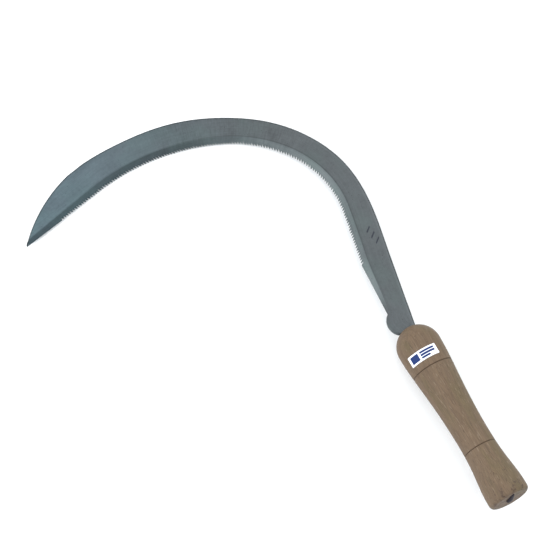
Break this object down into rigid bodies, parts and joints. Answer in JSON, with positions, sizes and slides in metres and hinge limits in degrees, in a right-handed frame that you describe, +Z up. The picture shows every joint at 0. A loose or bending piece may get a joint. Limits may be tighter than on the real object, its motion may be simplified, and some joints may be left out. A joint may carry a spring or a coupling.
{
  "type": "hand sickle",
  "caption": "Hand sickle with a crescent blade, fine teeth on the inner edge, a round heel lobe and a turned wooden handle held by a through tang.",
  "frame": {"origin": "middle of the grip, on the handle's axis, 70 mm behind the nose tip", "axes": "+Y along the handle toward the blade, in plan; +Z up as the tool lies on a flat surface, on its bulb and the blade's back, butt raised 3.8 degrees; +X toward the spine side of the shank. The blade sweeps to -X."},
  "size_m": [0.2202, 0.3517, 0.0379],
  "materials": {
    "blade_steel": "satin, mill-ground grey, darker at the spine and the clenched tang end",
    "handle_wood": "turned, plain and unvarnished, fine pores along the grain",
    "label_paper": "smooth coated paper, white with plain blue bars"
  },
  "bodies": {
    "root": {"blade": "blade_steel", "handle": "handle_wood", "label": "label_paper"}
  },
  "joints": []
}
